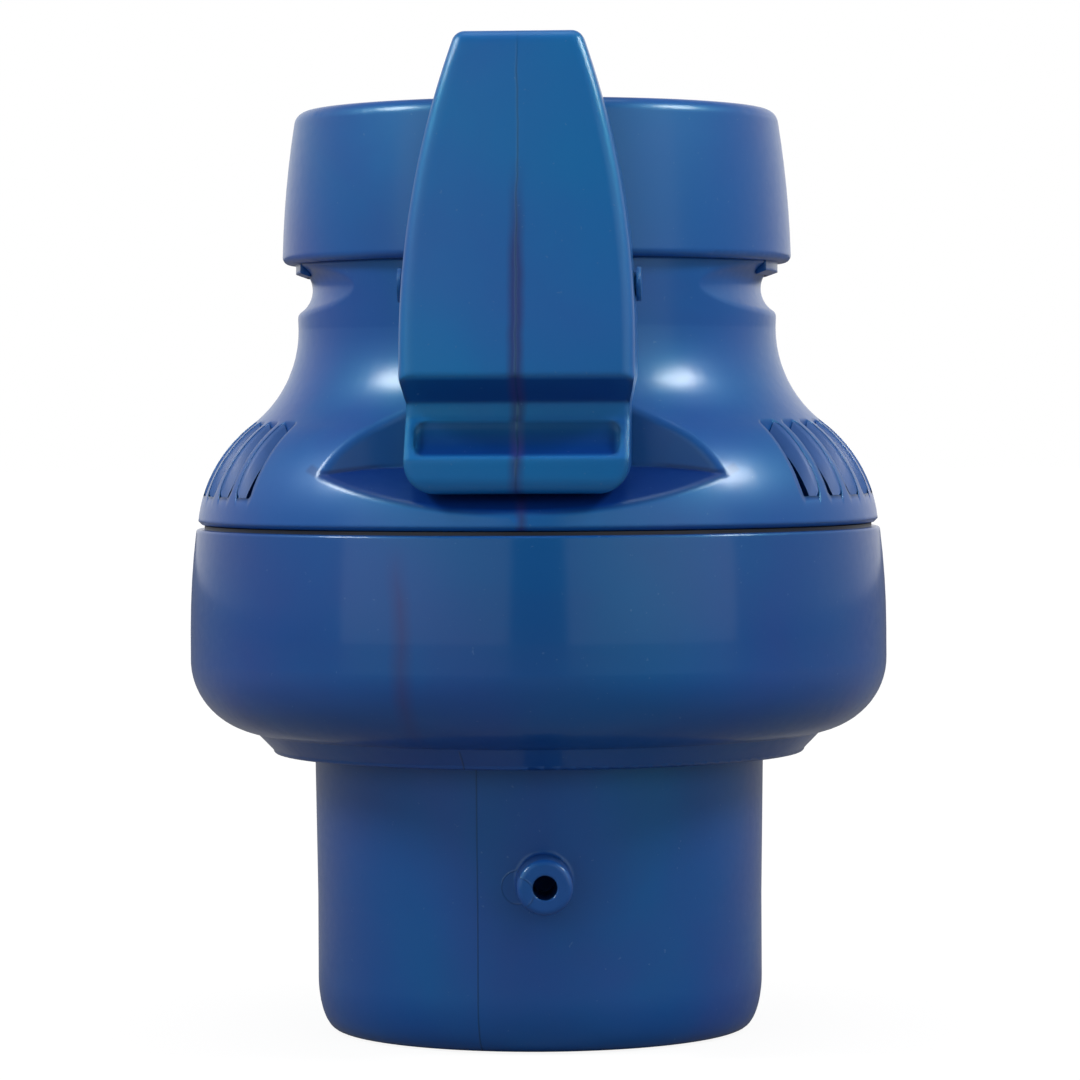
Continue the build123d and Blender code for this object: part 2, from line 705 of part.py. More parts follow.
# Seat plate: screwed on the lower body's bosses, with the lip that the valve seal meets
with BuildPart() as seat_plate:
    with BuildSketch(Plane.XZ):
        ring_face(seat_in_r, seat_r, seat_z, seat_plate_height)
        ring_face(seat_in_r, seat_in_r + seat_lip_wall, seat_lip_z, seat_lip + root_in)
    revolve(axis=Axis.Z)
    with BuildSketch(Plane.XZ):
        ring_face(
            seat_r - seat_seal_wall, seat_r + past,
            seat_z + (seat_plate_height - seat_seal_height) / 2, seat_seal_height
        )
    revolve(axis=Axis.Z, mode=Mode.SUBTRACT)
    with BuildSketch(Plane.XY.offset(seat_z)):
        with PolarLocations(screw_out, boss_count, start_angle=45):
            Circle(screw_r + free_gap)
    extrude(amount=seat_plate_height, mode=Mode.SUBTRACT)
seat_plate.part.label = "seat_plate"

# Seat seal: a square ring in the seat plate's rim
with BuildPart() as seat_seal:
    with BuildSketch(Plane.XZ):
        ring_face(
            seat_r - seat_seal_wall + nest_gap, chamber_r - nest_gap,
            seat_z + (seat_plate_height - seat_seal_height) / 2 + nest_gap, seat_seal_height - 2 * nest_gap
        )
    revolve(axis=Axis.Z)
seat_seal.part.label = "seat_seal"

# Seat screws: pan heads with a cross recess, as one group
with BuildPart() as seat_screws:
    with BuildSketch(Plane.XY.offset(seat_top_z)):
        with PolarLocations(screw_out, boss_count, start_angle=45):
            Circle(screw_r)
    extrude(amount=-seat_plate_height - screw_length + screw_end_gap)
    with BuildSketch(Plane.XY.offset(seat_top_z)):
        with PolarLocations(screw_out, boss_count, start_angle=45):
            Circle(screw_head_r)
    extrude(amount=screw_head)
    fillet(edges().filter_by(GeomType.CIRCLE).group_by(Axis.Z)[-1], screw_head_rim)
    with BuildSketch(Plane.XY.offset(seat_top_z + screw_head)):
        with PolarLocations(screw_out, boss_count, start_angle=45):
            Rectangle(cross_length, cross_width)
            Rectangle(cross_width, cross_length)
    extrude(amount=-cross_depth, mode=Mode.SUBTRACT)
seat_screws.part.label = "seat_screws"


# Hand lever: a tapered channel with a thumb pad at its foot and a claw at its top
pad_z = ledge_edge_z - pad_bottom_drop
claw_z = rim_z + claw_low
undercut_z = ledge_edge_z - undercut_drop
slope_z = undercut_z - undercut_flat
slope_foot_z = ledge_edge_z - pad_drop + pad_roll_r
lever_arc_height = lever_top_z - lever_arc_z
lever_top_half = lever_half - lever_arc_r + sqrt(lever_arc_r ** 2 - lever_arc_height ** 2)
pad_rise = (pad_out - pad_roll_r - pad_back_out) * tan(radians(recess_slope))


def front_outline(inset):
    """The lever seen from the front, drawn in from its edges by an inset."""
    with BuildSketch(Plane.XZ) as outline:
        with BuildLine():
            base = Line((0, pad_z), (pad_half - pad_corner, pad_z))
            corner = JernArc(start=base @ 1, tangent=(1, 0), radius=pad_corner, arc_size=90)
            flank = Polyline(
                corner @ 1, (pad_half, undercut_z), (lever_half, ledge_edge_z), (lever_half, lever_arc_z)
            )
            curve = TangentArc(flank @ 1, (lever_top_half, lever_top_z), tangent=(0, 1))
            Line(curve @ 1, (0, lever_top_z))
            mirror(about=Plane.YZ)
        make_face()
        fillet(outline.vertices().group_by(Axis.Y)[-1], lever_top_corner)
        if inset:
            offset(amount=-inset)
    return outline.sketch


lever_outline = front_outline(0)
channel_outline = front_outline(cheek_wall)

# The channel inside the lever
with BuildPart() as lever_channel:
    with BuildSketch(Plane.YZ.offset(-lever_half)):
        with BuildLine():
            Polyline(
                (-undercut_out + lever_wall, pad_z + lever_wall + pad_roll_r),
                (-undercut_out + lever_wall, undercut_z + lever_wall),
                (-ledge_out + lever_wall, ledge_edge_z + lever_wall), (-lever_top_out + lever_wall, claw_z),
                (0, claw_z), (0, pad_z + lever_wall + pad_roll_r), close=True
            )
        make_face()
    extrude(amount=2 * lever_half)
    extrude(channel_outline, amount=2 * ledge_out, dir=(0, -1, 0), mode=Mode.INTERSECT)

# The thumb groove: a shallow hollow with rounded corners across the pad's slope
slope_top = Vector(0, -undercut_out - slope_lean, slope_z)
slope_foot = Vector(0, -pad_out, slope_foot_z)
slope_normal = (slope_foot - slope_top).cross(Vector(1, 0, 0)).normalized()
groove_middle = (slope_top + slope_foot) * 0.5
groove_centre = groove_middle + slope_normal * (groove_r - groove_depth)
with BuildPart() as thumb_groove:
    with BuildSketch(Plane(origin=groove_middle, x_dir=(1, 0, 0), z_dir=slope_normal)):
        RectangleRounded(2 * groove_half, groove_width, groove_corner)
    extrude(amount=groove_r, both=True)
    with BuildSketch(Plane.YZ.offset(-lever_half)):
        with Locations((groove_centre.Y, groove_centre.Z)):
            Circle(groove_r)
    extrude(amount=2 * lever_half, mode=Mode.INTERSECT)

with BuildPart() as hand_lever:
    with BuildSketch(Plane.YZ.offset(-lever_half)):
        with BuildLine():
            bow_point = (-(ledge_out + lever_top_out) / 2 - lever_bow, (ledge_edge_z + lever_top_z) / 2)
            front = ThreePointArc((-lever_top_out, lever_top_z), bow_point, (-ledge_out, ledge_edge_z))
            pad = Polyline(
                front @ 1, (-undercut_out, undercut_z), (-undercut_out - slope_lean, slope_z),
                (-pad_out, slope_foot_z), (-pad_out, pad_z + pad_roll_r)
            )
            roll = JernArc(start=pad @ 1, tangent=(0, -1), radius=pad_roll_r, arc_size=90)
            Polyline(
                roll @ 1, (-pad_back_out, pad_z + pad_rise), (-cheek_out, undercut_z),
                (-cheek_out, lever_top_z), front @ 0
            )
        make_face()
    extrude(amount=2 * lever_half)
    extrude(lever_outline, amount=2 * ledge_out, dir=(0, -1, 0), mode=Mode.INTERSECT)
    front_face = faces().sort_by_distance((0, -ledge_out, (ledge_edge_z + lever_top_z) / 2))[0]
    fillet(front_face.edges().sort_by(Axis.Z)[1:], lever_edge_r)
    add(lever_channel.part, mode=Mode.SUBTRACT)
    add(thumb_groove.part, mode=Mode.SUBTRACT)
    for lug_side in (-lug_half, cheek_in):
        with BuildSketch(Plane.YZ.offset(lug_side)):
            with Locations((-pivot_out, pivot_z)):
                Circle(lug_r)
        extrude(amount=cheek_wall)
    with BuildSketch(Plane.XY.offset(claw_z)):
        with Locations((0, -(cheek_out + claw_r) / 2)):
            Rectangle(2 * lever_top_half + root_in, cheek_out - claw_r + claw_reach)
        Circle(claw_r, mode=Mode.SUBTRACT)
    extrude(amount=claw_height)
    with BuildSketch(Plane.YZ.offset(-lever_half)):
        with Locations((-pivot_out, pivot_z)):
            Circle(pin_r + running_gap)
    extrude(amount=2 * lever_half, mode=Mode.SUBTRACT)
hand_lever.part.label = "hand_lever"

# Lever pin, with its head on the +X side, and the clip on its other end
pin_shoulder = lever_half
with BuildPart() as lever_pin:
    with BuildSketch(Plane.YZ.offset(-pin_shoulder - pin_head)):
        with Locations((-pivot_out, pivot_z)):
            Circle(pin_r)
    extrude(amount=2 * pin_shoulder + pin_head)
    with BuildSketch(Plane.YZ.offset(pin_shoulder)):
        with Locations((-pivot_out, pivot_z)):
            Circle(pin_head_r)
    extrude(amount=pin_head)
lever_pin.part.label = "lever_pin"

with BuildPart() as pin_clip:
    with BuildSketch(Plane.YZ.offset(-pin_shoulder - pin_head)):
        with Locations((-pivot_out, pivot_z)):
            Circle(pin_head_r)
            Circle(pin_r + press_gap, mode=Mode.SUBTRACT)
    extrude(amount=pin_head)
pin_clip.part.label = "pin_clip"

# Lever spring: a torsion coil round the pin, one leg down the neck and one to the lever's back.
# It is drawn upright and then laid along the pin.
coil_pitch = coil_wire + nest_gap
coil_length = coil_turns * coil_pitch
coil_place = Plane(origin=(-coil_length / 2, -pivot_out, pivot_z), x_dir=(0, 1, 0), z_dir=(1, 0, 0))
with BuildPart() as lever_spring:
    with BuildLine() as coil:
        Helix(pitch=coil_pitch, height=coil_length, radius=coil_r)
    with BuildSketch(Plane(origin=coil.line @ 0, z_dir=coil.line % 0)):
        RegularPolygon(coil_wire / 2, 8)
    sweep(path=coil.line, is_frenet=True)
    with BuildSketch(Plane(origin=coil.line @ 0, z_dir=-(coil.line % 0))):
        RegularPolygon(coil_wire / 2, 8)
    extrude(amount=neck_leg)
    with BuildSketch(Plane(origin=coil.line @ 1, z_dir=coil.line % 1)):
        RegularPolygon(coil_wire / 2, 8)
    extrude(amount=lever_leg)
lever_spring.part = coil_place.location * Location((0, 0, 0), (0, 0, coil_tilt)) * lever_spring.part
lever_spring.part.label = "lever_spring"


pieces = [
    lower_body, seam_ring, foot_seal, flow_tube, tube_seal, spring_washer, regulator_spring,
    valve_ring, valve_bush, valve_seal, seat_plate, seat_seal, seat_screws,
    upper_housing, housing_seal, socket_liner, cuff_seal, inlet_collar,
    hand_lever, lever_pin, pin_clip, lever_spring,
]
os.makedirs("parts", exist_ok=True)
for piece in pieces:
    export_step(piece.part, f"parts/{piece.part.label}.step")
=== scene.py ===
import json
from math import cos, pi, radians, sin, sqrt

import bmesh
import bpy
from mathutils import Matrix, Vector


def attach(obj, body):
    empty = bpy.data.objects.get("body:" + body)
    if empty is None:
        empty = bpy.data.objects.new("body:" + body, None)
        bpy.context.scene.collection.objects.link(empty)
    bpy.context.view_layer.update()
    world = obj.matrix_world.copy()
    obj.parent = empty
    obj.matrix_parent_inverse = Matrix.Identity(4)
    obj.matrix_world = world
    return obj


# Flow regulator valve, in metres. +Z is up, the hand lever stands on the -Y side.
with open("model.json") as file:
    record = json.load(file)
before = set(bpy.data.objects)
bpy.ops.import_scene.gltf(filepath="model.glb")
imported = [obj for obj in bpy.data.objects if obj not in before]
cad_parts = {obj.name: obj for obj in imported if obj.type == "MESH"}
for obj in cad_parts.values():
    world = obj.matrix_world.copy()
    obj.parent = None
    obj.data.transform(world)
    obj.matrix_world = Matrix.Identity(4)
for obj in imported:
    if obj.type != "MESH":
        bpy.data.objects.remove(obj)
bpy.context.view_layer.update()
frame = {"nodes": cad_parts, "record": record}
nodes = frame["nodes"]

# Camera: worked out from the photograph's ellipses
MM = 0.001
IMAGE_PX = 1080
MM_PER_PX = 0.1362            # at the part's axis
CAMERA_OUT = 626.5 * MM
EYE_Z = 83.2 * MM
EYE_PX = 413                  # height of the eye level in the picture, from the top
AXIS_PX = 537.5               # place of the part's axis at the eye level
CAMERA_TURN_DEG = 3.4         # from the lever's side towards +X
CAMERA_TURN = radians(CAMERA_TURN_DEG)
CAMERA_ROLL = radians(-0.28)
SENSOR = 36.0


def add_camera():
    data = bpy.data.cameras.new("camera")
    data.sensor_width = SENSOR
    data.lens = CAMERA_OUT / (MM_PER_PX * MM) / IMAGE_PX * SENSOR
    data.shift_x = (IMAGE_PX / 2 - AXIS_PX) / IMAGE_PX
    data.shift_y = (EYE_PX - IMAGE_PX / 2) / IMAGE_PX
    data.clip_start = 0.01
    data.clip_end = 50
    camera = bpy.data.objects.new("camera", data)
    bpy.context.scene.collection.objects.link(camera)
    place = Vector((sin(CAMERA_TURN) * CAMERA_OUT, -cos(CAMERA_TURN) * CAMERA_OUT, EYE_Z))
    turn = Matrix.Rotation(CAMERA_TURN, 4, "Z") @ Matrix.Rotation(pi / 2, 4, "X")
    camera.matrix_world = Matrix.Translation(place) @ turn @ Matrix.Rotation(CAMERA_ROLL, 4, "Z")
    bpy.context.scene.camera = camera


# Light: two high side panels, two low front panels with a gap between them, one on top, and white behind
MIDDLE_Z = 0.07
SIDE_PANELS = (  # name, shape, degrees to each side of the camera, degrees up, metres out, width, height, watts
    ("high_panel", "ELLIPSE", 79, 40, 1.0, 0.30, 0.26, 5.6),
    ("front_panel", "RECTANGLE", 37.5, 6, 1.15, 1.25, 1.1, 3.2),
)
TOP_PANEL = (0, 0.05, 1.1)
ROOM = (  # what the blue skin mirrors, from in front of the part to behind it
    (0.0, 0.04), (0.03, 0.04), (0.10, 0.28), (0.62, 0.34), (0.80, 0.5), (1.0, 1)
)
CEILING = ((0.66, 1), (0.80, 0.35), (1.0, 0.3))  # the same, from level to straight up
ROOM_LIGHT = 0.55


def add_area(name, shape, place, target, width, height, power):
    data = bpy.data.lights.new(name, "AREA")
    data.shape = shape
    data.size = width
    data.size_y = height
    data.energy = power
    lamp = bpy.data.objects.new(name, data)
    bpy.context.scene.collection.objects.link(lamp)
    place = Vector(place)
    way = Vector(target) - place
    lamp.matrix_world = Matrix.Translation(place) @ way.to_track_quat("-Z", "Y").to_matrix().to_4x4()


def around(turn, rise, out):
    """A place seen from the part's middle: degrees from the camera's side towards +X, degrees up, metres."""
    turn, rise = radians(turn), radians(rise)
    return Vector((sin(turn) * cos(rise) * out, -cos(turn) * cos(rise) * out, MIDDLE_Z + sin(rise) * out))


def add_lights():
    middle = (0, 0, MIDDLE_Z)
    for side in (-1, 1):
        for name, shape, turn, rise, out, width, height, watts in SIDE_PANELS:
            place = around(CAMERA_TURN_DEG + side * turn, rise, out)
            add_area(name, shape, place, middle, width, height, watts)
    add_area("top_panel", "RECTANGLE", TOP_PANEL, middle, 0.7, 0.5, 1.6)


def ramp_node(tree, stops):
    ramp = tree.nodes.new("ShaderNodeValToRGB")
    points = ramp.color_ramp.elements
    while len(points) < len(stops):
        points.new(0.5)
    for point, (position, colour) in zip(points, stops):
        point.position = position
        point.color = (*colour, 1)
    return ramp


def maths(tree, operation, *values):
    """A Math node; a value is a number or a socket."""
    node = tree.nodes.new("ShaderNodeMath")
    node.operation = operation
    for socket, value in zip(node.inputs, values):
        if isinstance(value, (int, float)):
            socket.default_value = value
        else:
            tree.links.new(value, socket)
    return node.outputs[0]


def grey_stops(stops):
    return [(position, (value, value, value)) for position, value in stops]


def add_world():
    """White for the camera. Reflections see white behind the part and a dim studio in front of it."""
    world = bpy.data.worlds.new("surround")
    world.use_nodes = True
    tree = world.node_tree
    tree.nodes.clear()
    rays = tree.nodes.new("ShaderNodeLightPath")
    way = tree.nodes.new("ShaderNodeTexCoord")
    split = tree.nodes.new("ShaderNodeSeparateXYZ")
    tree.links.new(way.outputs["Generated"], split.inputs[0])
    behind = maths(tree, "MULTIPLY_ADD", split.outputs["Y"], 0.5, 0.5)
    seen = tree.nodes.new("ShaderNodeBackground")
    seen.inputs["Color"].default_value = (1, 1, 1, 1)
    mirrored = tree.nodes.new("ShaderNodeBackground")
    room = ramp_node(tree, grey_stops(ROOM))
    tree.links.new(behind, room.inputs[0])
    tree.links.new(room.outputs["Color"], mirrored.inputs["Color"])
    ceiling = ramp_node(tree, grey_stops(CEILING))
    tree.links.new(maths(tree, "MULTIPLY_ADD", split.outputs["Z"], 0.5, 0.5), ceiling.inputs[0])
    tree.links.new(ceiling.outputs["Color"], mirrored.inputs["Strength"])
    lit = tree.nodes.new("ShaderNodeBackground")
    lit.inputs["Color"].default_value = (1, 1, 1, 1)
    lit.inputs["Strength"].default_value = ROOM_LIGHT
    shine = tree.nodes.new("ShaderNodeMixShader")
    tree.links.new(rays.outputs["Is Glossy Ray"], shine.inputs[0])
    tree.links.new(lit.outputs[0], shine.inputs[1])
    tree.links.new(mirrored.outputs[0], shine.inputs[2])
    mix = tree.nodes.new("ShaderNodeMixShader")
    clear = maths(tree, "MAXIMUM", rays.outputs["Is Camera Ray"], rays.outputs["Is Transmission Ray"])
    tree.links.new(clear, mix.inputs[0])
    tree.links.new(shine.outputs[0], mix.inputs[1])
    tree.links.new(seen.outputs[0], mix.inputs[2])
    out = tree.nodes.new("ShaderNodeOutputWorld")
    tree.links.new(mix.outputs[0], out.inputs["Surface"])
    bpy.context.scene.world = world


# Floor: white for the camera and fading into the white surround, dim for the light that it sends back
FLOOR_HALF = 6.0
FLOOR_DROP = 0.2 * MM
FLOOR_FADE = ((0.0, 0.86), (0.06, 0.88), (0.20, 1))  # share of glow by metres from the axis
FLOOR_GLOW = 1.03


def add_floor():
    mesh = bpy.data.meshes.new("floor")
    half = FLOOR_HALF
    mesh.from_pydata([(-half, -half, 0), (half, -half, 0), (half, half, 0), (-half, half, 0)], [], [(0, 1, 2, 3)])
    floor = bpy.data.objects.new("floor", mesh)
    bpy.context.scene.collection.objects.link(floor)
    floor.location.z = -FLOOR_DROP
    material = bpy.data.materials.new("floor_white")
    material.use_nodes = True
    tree = material.node_tree
    tree.nodes.clear()
    rays = tree.nodes.new("ShaderNodeLightPath")
    seen = maths(tree, "MAXIMUM", rays.outputs["Is Camera Ray"], rays.outputs["Is Transmission Ray"])
    place = tree.nodes.new("ShaderNodeTexCoord")
    out_way = tree.nodes.new("ShaderNodeVectorMath")
    out_way.operation = "LENGTH"
    tree.links.new(place.outputs["Object"], out_way.inputs[0])
    fade = ramp_node(tree, grey_stops(FLOOR_FADE))
    tree.links.new(out_way.outputs["Value"], fade.inputs[0])
    plain = tree.nodes.new("ShaderNodeBsdfDiffuse")
    plain.inputs["Color"].default_value = (0.82, 0.82, 0.82, 1)
    dim = tree.nodes.new("ShaderNodeBsdfDiffuse")
    dim.inputs["Color"].default_value = (0.20, 0.20, 0.21, 1)
    glow = tree.nodes.new("ShaderNodeEmission")
    glow.inputs["Color"].default_value = (1, 1, 1, 1)
    glow.inputs["Strength"].default_value = FLOOR_GLOW
    look = tree.nodes.new("ShaderNodeMixShader")
    tree.links.new(fade.outputs["Color"], look.inputs[0])
    tree.links.new(plain.outputs[0], look.inputs[1])
    tree.links.new(glow.outputs[0], look.inputs[2])
    mix = tree.nodes.new("ShaderNodeMixShader")
    out = tree.nodes.new("ShaderNodeOutputMaterial")
    tree.links.new(seen, mix.inputs[0])
    tree.links.new(dim.outputs[0], mix.inputs[1])
    tree.links.new(look.outputs[0], mix.inputs[2])
    tree.links.new(mix.outputs[0], out.inputs["Surface"])
    floor.data.materials.append(material)


# Mould marks, and painted shade in the lever's ledge and groove and on the thumb recess's floor. Angles lie from
# the lever's side towards -X; spans are pairs of limits.
FLOW_PURPLE = (0.022, 0.022, 0.150)
LINE_DARK = (0.004, 0.018, 0.090)
DUST = (0.06, 0.13, 0.30)
# painted shade: the darker, deeper blue of the lever's ledge and groove and the recess floor
PAINTED_SHADE_BLUE = (0.0005, 0.012, 0.150)
PEARL = ((0.36, (0.20, 0.62, 1.0)), (0.50, (0.08, 0.78, 1.0)), (0.66, (0.03, 0.96, 1.0)))
CLOUD_RELIEF = 0.03 * MM
LINE_RELIEF = 0.06 * MM
SPIGOT_R = 30.2 * MM
DRUM_R = 46.8 * MM
LINE_HALF = 0.16 * MM
PARTING_TURN = radians(12.2)
PARTING_SPAN = (-1 * MM, 40 * MM)
GATE_TURN = radians(1.9)
GATE_Z = 21.7 * MM
GATE_R = 2.2 * MM
DRUM_FLOW_TURN = radians(18.7)
DRUM_FLOW_HALF = 1.8 * MM
DRUM_FLOW_SPAN = (38.5 * MM, 67 * MM)
SHELL_FLOW_TURN = -0.012
SHELL_FLOW_HALF = 1 * MM
SHELL_FLOW_SPAN = (67.5 * MM, 74.5 * MM)
# the band of painted shade on the thumb recess's floor, along its sloping plane
RECESS_FALL = 0.46            # slope of the thumb recess's floor, and its height at the axis
RECESS_LEVEL = 91.80 * MM
RECESS_BAND = 0.6 * MM
RECESS_SPAN = (-46 * MM, -33.6 * MM)
KNIT_HALF = 1.3 * MM
KNIT_SPAN = (66 * MM, 116 * MM)
KNIT_LINE_HALF = 0.22 * MM
KNIT_LINE_SPAN = (70 * MM, 133 * MM)
# where the lever's painted shade lies: the thumb groove and the ledge band
GROOVE_SPAN = (77.7 * MM, 82.3 * MM)
GROOVE_HALF = 13.1 * MM
LEDGE_SPAN = (84.3 * MM, 87.7 * MM)


def new_material(name):
    material = bpy.data.materials.new(name)
    material.use_nodes = True
    shader = material.node_tree.nodes["Principled BSDF"]
    return material, material.node_tree, shader


def object_place(tree):
    """The object coordinates in metres, as three sockets."""
    place = tree.nodes.new("ShaderNodeTexCoord")
    split = tree.nodes.new("ShaderNodeSeparateXYZ")
    tree.links.new(place.outputs["Object"], split.inputs[0])
    return place.outputs["Object"], split.outputs


def noise(tree, place, scale, detail=3.0, distortion=0.0):
    node = tree.nodes.new("ShaderNodeTexNoise")
    node.inputs["Scale"].default_value = scale
    node.inputs["Detail"].default_value = detail
    node.inputs["Distortion"].default_value = distortion
    tree.links.new(place, node.inputs["Vector"])
    return node.outputs["Fac"]


def line_mask(tree, distance, half_width):
    """1 on a line and 0 beyond its half width, by the distance from it."""
    away = maths(tree, "DIVIDE", maths(tree, "ABSOLUTE", distance), half_width)
    mask = tree.nodes.new("ShaderNodeMath")
    mask.operation = "SUBTRACT"
    mask.use_clamp = True
    mask.inputs[0].default_value = 1.0
    tree.links.new(away, mask.inputs[1])
    return mask.outputs[0]


def between(tree, value, span, soft):
    """1 where a value lies between two limits, with soft ends."""
    low, high = span
    rise = tree.nodes.new("ShaderNodeMapRange")
    rise.inputs["From Min"].default_value = low
    rise.inputs["From Max"].default_value = low + soft
    tree.links.new(value, rise.inputs["Value"])
    fall = tree.nodes.new("ShaderNodeMapRange")
    fall.inputs["From Min"].default_value = high
    fall.inputs["From Max"].default_value = high - soft
    tree.links.new(value, fall.inputs["Value"])
    return maths(tree, "MULTIPLY", rise.outputs[0], fall.outputs[0])


def mix_colour(tree, factor, first, second):
    node = tree.nodes.new("ShaderNodeMix")
    node.data_type = "RGBA"
    tree.links.new(factor, node.inputs[0])
    tree.links.new(first, node.inputs[6])
    node.inputs[7].default_value = (*second, 1)
    return node.outputs[2]


def turn_from_front(tree, axes):
    """The angle about Z in radians, 0 on the lever's side and growing towards +X."""
    return maths(tree, "ARCTAN2", axes["X"], maths(tree, "MULTIPLY", axes["Y"], -1.0))


def times(tree, *values):
    result = values[0]
    for value in values[1:]:
        result = maths(tree, "MULTIPLY", result, value)
    return result


def arc_from(tree, turn, place_turn, radius):
    """The distance along an arc from a mark's place."""
    return times(tree, maths(tree, "ADD", turn, place_turn), radius)


def drum_marks(tree, place, axes):
    """Marks of the moulding on the lower body: parting line, gate ring and flow line."""
    turn = turn_from_front(tree, axes)
    parting_out = arc_from(tree, turn, PARTING_TURN, SPIGOT_R)
    parting = times(
        tree, line_mask(tree, parting_out, LINE_HALF), between(tree, axes["Z"], PARTING_SPAN, 0.4 * MM), 0.9
    )
    gate_x = arc_from(tree, turn, GATE_TURN, SPIGOT_R)
    gate_z = maths(tree, "SUBTRACT", axes["Z"], GATE_Z)
    gate_out = maths(tree, "SQRT", maths(tree, "ADD", times(tree, gate_x, gate_x), times(tree, gate_z, gate_z)))
    gate = times(tree, line_mask(tree, maths(tree, "SUBTRACT", gate_out, GATE_R), LINE_HALF), 0.5)
    wobble = maths(tree, "MULTIPLY_ADD", noise(tree, place, 60), 0.06, -0.03)
    flow_out = arc_from(tree, maths(tree, "ADD", turn, wobble), DRUM_FLOW_TURN, DRUM_R)
    flow = times(
        tree, line_mask(tree, flow_out, DRUM_FLOW_HALF), between(tree, axes["Z"], DRUM_FLOW_SPAN, 8 * MM), 0.9
    )
    return flow, maths(tree, "MAXIMUM", parting, gate), None


def shell_marks(tree, place, axes):
    """A short flow line under the thumb recess, and painted shade on the recess's floor."""
    wobble = maths(tree, "MULTIPLY_ADD", noise(tree, place, 300), 0.02, -0.01)
    out = arc_from(tree, maths(tree, "ADD", turn_from_front(tree, axes), wobble), SHELL_FLOW_TURN, DRUM_R)
    flow = times(
        tree, line_mask(tree, out, SHELL_FLOW_HALF), between(tree, axes["Z"], SHELL_FLOW_SPAN, 1 * MM), 0.95
    )
    # painted shade: a band on the thumb recess's floor, darkened to a deeper blue
    level = maths(tree, "MULTIPLY_ADD", axes["Y"], -RECESS_FALL, axes["Z"])
    band = (RECESS_LEVEL - RECESS_BAND, RECESS_LEVEL + RECESS_BAND)
    floor = times(
        tree, between(tree, level, band, RECESS_BAND / 2), between(tree, axes["Y"], RECESS_SPAN, 0.4 * MM), 0.8
    )
    return flow, None, floor


def lever_marks(tree, place, axes):
    """The knit line down the lever, where the plastic met in the mould. The ledge and groove get painted shade: a
    darker, deeper blue.
    """
    wobble = maths(tree, "MULTIPLY_ADD", noise(tree, place, 160, 2.0), 0.8 * MM, -0.4 * MM)
    out = maths(tree, "ADD", axes["X"], wobble)
    wide = times(tree, line_mask(tree, out, KNIT_HALF), between(tree, axes["Z"], KNIT_SPAN, 14 * MM), 1.4)
    thin = times(
        tree, line_mask(tree, out, KNIT_LINE_HALF), between(tree, axes["Z"], KNIT_LINE_SPAN, 6 * MM), 0.6
    )
    # painted shade: masks of the groove and the ledge band, which darken them to a deeper blue
    groove_shade = times(
        tree, between(tree, axes["Z"], GROOVE_SPAN, 0.4 * MM),
        between(tree, axes["X"], (-GROOVE_HALF, GROOVE_HALF), 0.9 * MM), 0.88
    )
    ledge_shade = times(tree, between(tree, axes["Z"], LEDGE_SPAN, 0.4 * MM), 0.7)
    return maths(tree, "MINIMUM", wide, 0.95), thin, maths(tree, "MAXIMUM", groove_shade, ledge_shade)


def moulded_blue(name, colour, streak, marks, edge, skin):
    """Pearly moulded plastic: cyan sheen under a polished skin, flow clouds, mould marks, painted shade in
    recesses, soft edges.
    """
    material, tree, shader = new_material(name)
    place, axes = object_place(tree)
    clouds = noise(tree, place, 26, 4.0, 0.8)
    specks = noise(tree, place, 1500, 2.0)
    tint = ramp_node(tree, [(0.36, streak), (0.60, colour)])
    tree.links.new(clouds, tint.inputs[0])
    flow, fine, painted_shade = marks(tree, place, axes)
    tone = tint.outputs["Color"]
    # painted shade: the marks' recess mask darkens the colour to a deeper blue
    if painted_shade:
        tone = mix_colour(tree, painted_shade, tone, PAINTED_SHADE_BLUE)
    tone = mix_colour(tree, flow, tone, FLOW_PURPLE)
    if fine:
        tone = mix_colour(tree, fine, tone, LINE_DARK)
    tone = mix_colour(tree, times(tree, between(tree, specks, (0.735, 0.9), 0.02), 0.5), tone, DUST)
    tree.links.new(tone, shader.inputs["Base Color"])
    gloss = tree.nodes.new("ShaderNodeMapRange")
    gloss.inputs["To Min"].default_value = 0.38
    gloss.inputs["To Max"].default_value = 0.50
    tree.links.new(noise(tree, place, 700), gloss.inputs["Value"])
    tree.links.new(gloss.outputs[0], shader.inputs["Roughness"])
    rounded = tree.nodes.new("ShaderNodeBevel")
    rounded.samples = 6
    rounded.inputs["Radius"].default_value = edge
    relief = times(tree, clouds, CLOUD_RELIEF)
    if fine:
        relief = maths(tree, "ADD", relief, times(tree, fine, LINE_RELIEF))
    bump = tree.nodes.new("ShaderNodeBump")
    bump.inputs["Distance"].default_value = 1.0
    bump.inputs["Strength"].default_value = 1.0
    tree.links.new(relief, bump.inputs["Height"])
    tree.links.new(rounded.outputs[0], bump.inputs["Normal"])
    tree.links.new(bump.outputs[0], shader.inputs["Normal"])
    tree.links.new(bump.outputs[0], shader.inputs["Coat Normal"])
    shader.inputs["Specular IOR Level"].default_value = 0.7
    pearl = ramp_node(tree, PEARL)
    tree.links.new(noise(tree, place, 16, 2.0, 1.2), pearl.inputs[0])
    tree.links.new(pearl.outputs["Color"], shader.inputs["Specular Tint"])
    shader.inputs["Coat Weight"].default_value = 0.6
    shader.inputs["Coat Roughness"].default_value = skin
    shader.inputs["Coat IOR"].default_value = 1.45
    return material


